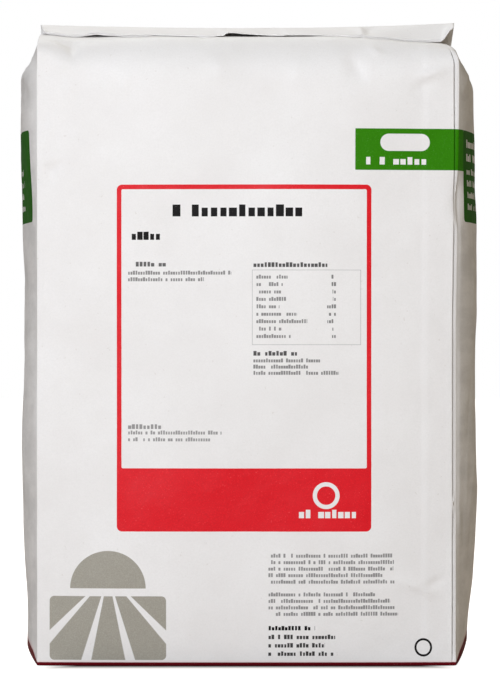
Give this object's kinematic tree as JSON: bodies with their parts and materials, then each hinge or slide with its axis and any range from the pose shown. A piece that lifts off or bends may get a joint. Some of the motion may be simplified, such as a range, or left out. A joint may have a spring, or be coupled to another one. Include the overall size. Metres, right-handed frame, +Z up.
{
  "type": "bag of flour",
  "caption": "Tall filled paper bag of flour, standing on a flat base, with bulging panels, creased corners and a folded, glued top.",
  "frame": {"origin": "middle of the base, on the surface that the bag stands on", "axes": "+X along the front panel to the right as seen from the front, +Y from the front panel to the back panel, +Z up"},
  "size_m": [0.3, 0.161, 0.4185],
  "materials": {
    "paper": "matte white kraft paper with red, green and grey print"
  },
  "bodies": {
    "root": {"flour_bag": "paper"}
  },
  "joints": []
}
